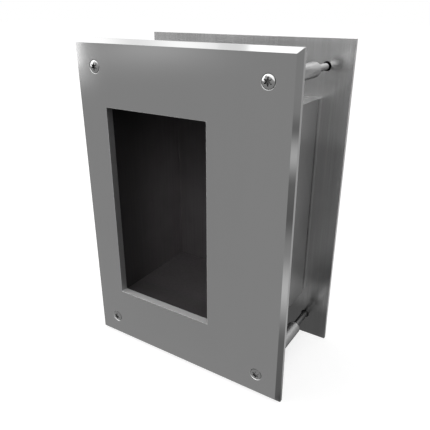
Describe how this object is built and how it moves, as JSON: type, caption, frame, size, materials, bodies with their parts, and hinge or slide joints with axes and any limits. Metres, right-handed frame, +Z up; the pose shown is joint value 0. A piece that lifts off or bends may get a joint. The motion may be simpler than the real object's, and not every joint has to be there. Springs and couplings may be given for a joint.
{
  "type": "recessed pull handle",
  "caption": "Through-bolted door pull: a bevelled face plate with an off-centre window into a folded steel finger box, tied by tapped sleeves and screws to a plain back plate.",
  "frame": {"origin": "middle of the front plate's back face, which is also the middle of the sleeve pattern's seats on it", "axes": "+Z up along the plates' long side, +Y into the door from the front plate to the rear plate, +X to the right when the front plate is looked at, away from the window's side"},
  "size_m": [0.09, 0.0506, 0.127],
  "materials": {
    "plate_steel": "satin brushed flats with polished bevels",
    "box_steel": "mill-finish sheet, dark inside",
    "sleeve_steel": "turned",
    "screw_steel": "polished"
  },
  "bodies": {
    "root": {"front_plate": "plate_steel", "recess_box": "box_steel", "rear_plate": "plate_steel", "sleeve_top_left": "sleeve_steel", "sleeve_top_right": "sleeve_steel", "sleeve_bottom_left": "sleeve_steel", "sleeve_bottom_right": "sleeve_steel", "front_screw_top_left": "screw_steel", "front_screw_top_right": "screw_steel", "front_screw_bottom_left": "screw_steel", "front_screw_bottom_right": "screw_steel", "rear_screw_top_left": "screw_steel", "rear_screw_top_right": "screw_steel", "rear_screw_bottom_left": "screw_steel", "rear_screw_bottom_right": "screw_steel"}
  },
  "joints": []
}
